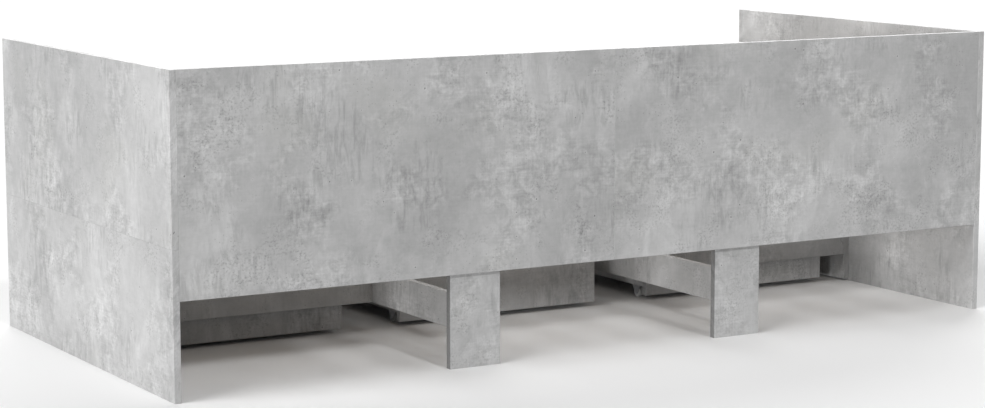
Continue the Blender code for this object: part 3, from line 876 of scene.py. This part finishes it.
# %% Cam locks in their pockets
CAM_RADIUS = 0.0072
CAM_SUNK = 0.0004
CAM_FOOT = 0.011
CAM_REACH = 0.0042
CAM_RECESS = 0.0022
CAM_INSET = 0.034
BACK_SHARES = (0.055, 0.50, 0.93)
RAIL_SHARES = (0.17, 0.80)


def cam_spots(name, axis, ends, shares):
    """Points on a board: along it from the chosen ends, and up it by shares of its height."""
    low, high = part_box(name)
    along = (low[axis] + CAM_INSET, high[axis] - CAM_INSET)
    return [(along[end], low[2] + share * (high[2] - low[2])) for end in ends for share in shares]


cams = {}
for side, outer in (("left", 0), ("right", 1)):
    for name, face, normal, ends, shares in (
        (f"back_panel_{side}", 0, (0, -1, 0), [outer], BACK_SHARES),
        (f"front_rail_{side}", 1, (0, 1, 0), [outer], RAIL_SHARES),
        (f"cross_stretcher_{side}", 0, (-1, 0, 0), [0, 1], [0.5]),
        (f"mid_stretcher_{side}", 0, (0, -1, 0), [0, 1], [0.5]),
    ):
        thin = thin_axis(name)
        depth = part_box(name)[face][thin]
        spots = cam_spots(name, 1 - thin, ends, shares)
        cams[name] = normal, [
            Vector((depth, a, z) if thin == 0 else (a, depth, z)) for a, z in spots
        ]
for board, (normal, spots) in cams.items():
    shape = bmesh.new()
    for spot in spots:
        place = facing(spot - CAM_SUNK * Vector(normal), normal)
        cross_head(shape, place, CAM_RADIUS, 0, CAM_FOOT, CAM_REACH, CAM_RECESS)
    piece(f"cams_{board}", shape, CAST_ZINC, "frame")
print(sum(len(spots) for _, spots in cams.values()), "cam locks")

# %% [markdown]
# ## Seam plates
# The back, the front rail and each end are two boards, edge to edge. On the inner side flat steel
# plates bridge the seams. They are planks with their corners well rounded, each with four
# screws, and they are turned into place as a whole rather than modelled in three directions.

# %% Plates across the seams
PLATE = Vector((0.086, 0.018, 0.0015))
PLATE_CORNER = 0.007
PLATE_EDGE = 0.0003
PLATE_GAP = 0.0001
HOLE_ALONG = (-0.034, -0.014, 0.014, 0.034)
BACK_PLATE_Z = (0.345, 0.600)
RAIL_PLATE_Z = 0.322
END_PLATE_Y = (-0.22, 0.22)
inner_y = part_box("back_panel_left")[0][1]
end_face = cad_high[0] - BOARD
end_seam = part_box("left_end_lower")[1][2]


def seam_plate(name, middle, normal, along):
    """A rounded steel plate with four screws, its length along the given direction."""
    normal, along = Vector(normal), Vector(along)
    turn = Matrix((along, normal.cross(along), normal)).transposed().to_4x4()
    place = Matrix.Translation(middle) @ turn
    shape = bmesh.new()
    low, high = (-PLATE.x / 2, -PLATE.y / 2, PLATE_GAP), (PLATE.x / 2, PLATE.y / 2, PLATE.z)
    plank(shape, low, high, PLATE_CORNER, PLATE_EDGE, segments=1)
    bmesh.ops.transform(shape, matrix=place, verts=shape.verts)
    for x in HOLE_ALONG:
        screw(shape, place @ Vector((x, 0, PLATE.z)), normal, **SCREW)
    return piece(name, shape, ZINC, "frame")


for number, z in enumerate(BACK_PLATE_Z, 1):
    seam_plate(f"back_seam_plate_{number}", (0, inner_y, z), (0, -1, 0), (1, 0, 0))
seam_plate("rail_seam_plate", (0, -inner_y, RAIL_PLATE_Z), (0, 1, 0), (1, 0, 0))
for side, sign in (("left", -1), ("right", 1)):
    for number, y in enumerate(END_PLATE_Y, 1):
        middle = (sign * end_face, y, end_seam)
        seam_plate(f"{side}_end_plate_{number}", middle, (-sign, 0, 0), (0, 0, 1))
print("seven plates")

# %% [markdown]
# ## Cores in the joints
# Butted boards touch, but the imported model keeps 0.3 mm between them, and a white surround would
# shine through such a slit. The boards can't be moved here. What one sees in a real joint is a
# fine groove between two eased edges, with the film's own grey at its bottom. So a thin strip
# fills each slit, sunk to the depth of that groove.

# %% Strips in the slits
GROOVE = 0.00045
HAIR = 0.00001
CORE_EASE = 0.00003


def strip(shape, low, high, across):
    """Fill the slit between two corners: free of both boards, and sunk by the groove."""
    low, high = Vector(low), Vector(high)
    for axis in range(3):
        margin = HAIR if axis == across else GROOVE
        low[axis] += margin
        high[axis] -= margin
    verts = bmesh.ops.create_cube(shape, size=1)["verts"]
    bmesh.ops.scale(shape, vec=high - low, verts=verts)
    bmesh.ops.translate(shape, vec=(low + high) / 2, verts=verts)


def joint_cores(name, shape, number, thin):
    bmesh.ops.bevel(
        shape, geom=shape.edges[:], offset=CORE_EASE, segments=1, affect="EDGES", **ROUNDING
    )
    film = laminate(f"laminate_{name}", len(boards) + number, thin)
    return piece(name, shape, film, "frame")


for number, (stem, title) in enumerate((("back_panel", "back"), ("front_rail", "rail"))):
    (low, near), (far, high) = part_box(f"{stem}_left"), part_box(f"{stem}_right")
    shape = bmesh.new()
    for start, end in ((-end_face, low[0]), (near[0], far[0]), (high[0], end_face)):
        strip(shape, (start, low[1], low[2]), (end, high[1], high[2]), 0)
    joint_cores(f"{title}_joint_cores", shape, number, 1)
for number, side in enumerate(("left", "right"), 2):
    (low, top), (foot, high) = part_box(f"{side}_end_lower"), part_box(f"{side}_end_upper")
    shape = bmesh.new()
    strip(shape, (low[0], low[1], top[2]), (high[0], high[1], foot[2]), 2)
    joint_cores(f"{side}_end_joint_core", shape, number, 0)
print("eight joints closed")

# %% [markdown]
# ## Screws
# Screws hold the battens on the back and the rail, the legs on both, and the side boards on the
# ends. Each board's screws are one piece, because nobody takes a single screw as a part, and one
# piece is lighter to handle than dozens.

# %% Screws in battens, legs and side boards
BATTEN_SCREWS = 9
BATTEN_END = 0.06
BATTEN_DROP = 0.004
LEG_SCREW_INSET = 0.020
LEG_SCREW_Z = 0.225
SIDE_SCREW_INSET = 0.040
SIDE_SCREW_Z = (0.035, 0.215)


def screws(board, spots, normal):
    shape = bmesh.new()
    for spot in spots:
        screw(shape, spot, normal, **SCREW)
    return piece(f"screws_{board}", shape, ZINC, "frame")


for end, inward in (("rear", -1), ("front", 1)):
    corner = 0 if inward < 0 else 1
    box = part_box(f"{end}_batten")
    first, last = box[0][0] + BATTEN_END, box[1][0] - BATTEN_END
    z = (box[0][2] + box[1][2]) / 2 - BATTEN_DROP
    step = (last - first) / (BATTEN_SCREWS - 1)
    spots = [(first + index * step, box[corner][1], z) for index in range(BATTEN_SCREWS)]
    screws(f"{end}_batten", spots, (0, inward, 0))
    for side in ("left", "right"):
        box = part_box(f"{end}_leg_{side}")
        ends = (box[0][0] + LEG_SCREW_INSET, box[1][0] - LEG_SCREW_INSET)
        spots = [(x, box[corner][1], LEG_SCREW_Z) for x in ends]
        screws(f"{end}_leg_{side}", spots, (0, inward, 0))
for side, inward in (("left", 1), ("right", -1)):
    low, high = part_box(f"{side}_side_board")
    x = high[0] if inward > 0 else low[0]
    along = (low[1] + SIDE_SCREW_INSET, (low[1] + high[1]) / 2, high[1] - SIDE_SCREW_INSET)
    spots = [(x, y, z) for y in along for z in SIDE_SCREW_Z]
    screws(f"{side}_side_board", spots, (inward, 0, 0))
print("screws on eight boards")

# %% [markdown]
# ## Drawer caps
# The drawer boxes are joined by the same kind of lock, hidden under thin round caps on the inner
# faces near the four corners. A flat disc would do for a drawing. The real cap is a shallow
# dome with a soft rim, so it is spun from a short profile.

# %% Cover caps in the drawers
CAP_RADIUS = 0.0085
CAP_RISE = 0.0011
CAP_GAP = 0.00005
CAP_LOW = 0.035
CAP_HIGH = 0.030
CAP_SHARES = ((0, 1), (0.6, 1), (0.88, 0.85), (1, 0.4))
CAP_STEPS = 32
cap_profile = [(share * CAP_RADIUS, rise * CAP_RISE) for share, rise in CAP_SHARES]
cap_profile += [(CAP_RADIUS, CAP_GAP), (0, CAP_GAP)]
for drawer in ("left", "middle", "right"):
    for side, inward in (("left", 1), ("right", -1)):
        low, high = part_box(f"drawer_{drawer}_{side}_side")
        x = high[0] if inward > 0 else low[0]
        shape = bmesh.new()
        for y in (low[1] + CAM_INSET, high[1] - CAM_INSET):
            for z in (low[2] + CAP_LOW, high[2] - CAP_HIGH):
                revolved(shape, facing((x, y, z), (inward, 0, 0)), cap_profile, CAP_STEPS)
        name = f"caps_drawer_{drawer}_{side}_side"
        piece(name, shape, CAP_PLASTIC, f"drawer_{drawer}")
print("caps on six drawer sides")

# %% [markdown]
# ## Wheels and rivets
# Each castor has a nylon wheel with a hub, a dished web and a tread with a fine mould line, and a
# hollow rivet as its axle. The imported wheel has 18 flats, so that it stays light for the motion.
# Here a finer profile is spun in 64 steps, with the same radius, width and bore. The two faces
# are tables of radius and of depth below the outermost plane.

# %% Profiles of the wheel and the rivet
WHEEL_RADIUS = 0.0120
WHEEL_HALF = 0.0060
TREAD_ROUND = 0.0013
BORE = 0.00185
MOULD_LINE = ((0, 0.0004), (0.0002, 0.0001))
WHEEL_STEPS = 64
FORK_HALF = 0.0078
SHEET = 0.0012
RIVET_RISE = 0.0008
RIVET_RADIUS = 0.0028
RIVET_NECK = 0.0015
RIVET_STEPS = 32
ARC_STEPS = 5
WHEEL_FACE = (
    (BORE, 0.0003), (BORE + 0.0003, 0), (0.0040, 0), (0.0044, 0.0003), (0.0050, 0.0014),
    (0.0056, 0.0016), (0.0084, 0.0016), (0.0090, 0.0013), (0.0096, 0.0002), (0.0100, 0),
)
RIVET_FACE = (
    (0, 0.0010), (0.0010, 0.0009), (0.0013, 0.0001), (0.0017, 0), (0.0023, 0.0001),
    (RIVET_RADIUS, 0.0005),
)


def mirrored(upper):
    """A profile and its mirror image below."""
    return list(upper) + [(radius, -height) for radius, height in reversed(upper)]


def quarter_round(centre, radius):
    """A quarter of a circle, from its top round to its outer side."""
    angles = [math.pi / 2 * (1 - step / ARC_STEPS) for step in range(ARC_STEPS + 1)]
    return [
        (centre[0] + radius * math.cos(a), centre[1] + radius * math.sin(a)) for a in angles
    ]


face = [(radius, WHEEL_HALF - depth) for radius, depth in WHEEL_FACE]
tread = quarter_round((WHEEL_RADIUS - TREAD_ROUND, WHEEL_HALF - TREAD_ROUND), TREAD_ROUND)
line = [(WHEEL_RADIUS - depth, height) for depth, height in MOULD_LINE]
wheel_profile = mirrored(face + tread + line)
tip, neck = FORK_HALF + RIVET_RISE, FORK_HALF - SHEET / 2
face = [(radius, tip - depth) for radius, depth in RIVET_FACE]
rivet_profile = mirrored(face + [(RIVET_RADIUS, neck), (RIVET_NECK, neck)])
print(len(wheel_profile), "points in the wheel's profile")

# %% [markdown]
# ## The folded bracket
# The bracket is one piece of sheet: a plate under the drawer, two bends, and two cheeks that
# taper to rounded ends. It could be cut from a block, but a pressed part shows its even
# thickness and its bend radius. So a grid is laid along the folded outline, row by row, each
# row as long as the sheet is there, and the grid then gets its thickness.

# %% Rows of the bracket
PLATE_HALF = 0.0230
PLATE_ROUND = 0.0012
CHEEK_HALF = 0.0180
CHEEK_END = 0.0065
PLATE_TOP = 0.0177
BEND = 0.0014
COLUMNS = 14
PLATE_SHARES = (0.6, 0.86, 0.98)
CHEEK_STEPS = 6
END_STEPS = 8
END_SHARE = 0.985


def cheek_rows():
    """Heights from the bend down, each with the cheek's half length there."""
    top = PLATE_TOP - SHEET / 2
    lean = math.atan2(top, CHEEK_HALF) - math.acos(CHEEK_END / math.hypot(CHEEK_HALF, top))
    foot_y, foot_z = CHEEK_END * math.cos(lean), CHEEK_END * math.sin(lean)
    rows = []
    for step in range(CHEEK_STEPS):
        z = (top - BEND) + (foot_z - top + BEND) * step / CHEEK_STEPS
        rows.append((z, foot_y + (CHEEK_HALF - foot_y) * (z - foot_z) / (top - foot_z)))
    for step in range(END_STEPS + 1):
        angle = lean - (math.pi / 2 + lean) * END_SHARE * step / END_STEPS
        rows.append((CHEEK_END * math.sin(angle), CHEEK_END * math.cos(angle)))
    return rows


def bracket_rows():
    """Across the sheet's outer side, from one cheek's end to the other: x, z, half length."""
    flat = FORK_HALF - SHEET / 2 - BEND
    bend = quarter_round((flat, PLATE_TOP - SHEET / 2 - BEND), BEND + SHEET / 2)
    lengths = (PLATE_HALF, PLATE_HALF - PLATE_ROUND, CHEEK_HALF)
    half = [(0, PLATE_TOP, PLATE_HALF)]
    half += [(share * flat, PLATE_TOP, long) for share, long in zip(PLATE_SHARES, lengths)]
    half += [(x, z, CHEEK_HALF) for x, z in bend[1:-1]]
    half += [(FORK_HALF, z, length) for z, length in cheek_rows()]
    return [(-x, z, length) for x, z, length in reversed(half[1:])] + half


def bracket(shape, place):
    """A grid laid along the rows, then made as thick as the sheet."""
    rows = bracket_rows()
    last = len(rows) - 1
    sheet = bmesh.ops.create_grid(shape, x_segments=last, y_segments=COLUMNS, size=1)["verts"]
    for vert in sheet:
        x, z, half_length = rows[round((vert.co.x + 1) / 2 * last)]
        vert.co = place @ Vector((x, half_length * vert.co.y, z))
    bmesh.ops.recalc_face_normals(shape, faces=shape.faces)
    bmesh.ops.solidify(shape, geom=shape.faces[:], thickness=SHEET)


print(len(bracket_rows()), "rows across the bracket")

# %% [markdown]
# ## Twelve castors
# Four castors stand under each drawer. The wheel rides on its own body, so that it turns, and
# the bracket, the rivet and the screws ride on the drawer. One mesh shared by twelve objects
# would be lighter, but each piece has to lie at its own place, so the shapes are made again.

# %% Castors in place
SCREW_ALONG = 0.018
CASTOR_SCREW = {"radius": 0.0031, "rise": 0.0017, "foot": 0.0010}
for drawer in ("left", "middle", "right"):
    body = f"drawer_{drawer}"
    for corner in ("front_left", "front_right", "rear_left", "rear_right"):
        wheel_node, castor_node = f"{body}_wheel_{corner}", f"{body}_castor_{corner}"
        low, high = (Vector(point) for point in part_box(wheel_node))
        place = Matrix.Translation((low + high) / 2)
        axle = facing((low + high) / 2, (1, 0, 0))
        wheel, folded, rivet, fixings = (bmesh.new() for _ in range(4))
        revolved(wheel, axle, wheel_profile, WHEEL_STEPS)
        made = piece(f"{wheel_node}_fine", wheel, NYLON, wheel_node)
        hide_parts(wheel_node)
        bracket(folded, place)
        revolved(rivet, axle, rivet_profile, RIVET_STEPS)
        for along in (-SCREW_ALONG, SCREW_ALONG):
            spot = place @ Vector((0, along, PLATE_TOP - SHEET))
            screw(fixings, spot, (0, 0, -1), **CASTOR_SCREW)
        for title, shape in (("bracket", folded), ("rivet", rivet), ("screws", fixings)):
            made = piece(f"{castor_node}_{title}", shape, ZINC, body)
            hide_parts(castor_node)
print("twelve castors in place")

# %% [markdown]
# ## The two boxes
# The boxes of the imported model and of the dressed one are measured, and their sizes printed side
# by side, because the looks mustn't change the size.

# %% Print the sizes of the two boxes
made_low, made_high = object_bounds()
boxes = {"cad": (cad_low, cad_high), "visual": (made_low, made_high)}
boxes = {name: [[float(v) for v in corner] for corner in box] for name, box in boxes.items()}
print({name: [round(h - l, 4) for l, h in zip(*box)] for name, box in boxes.items()})
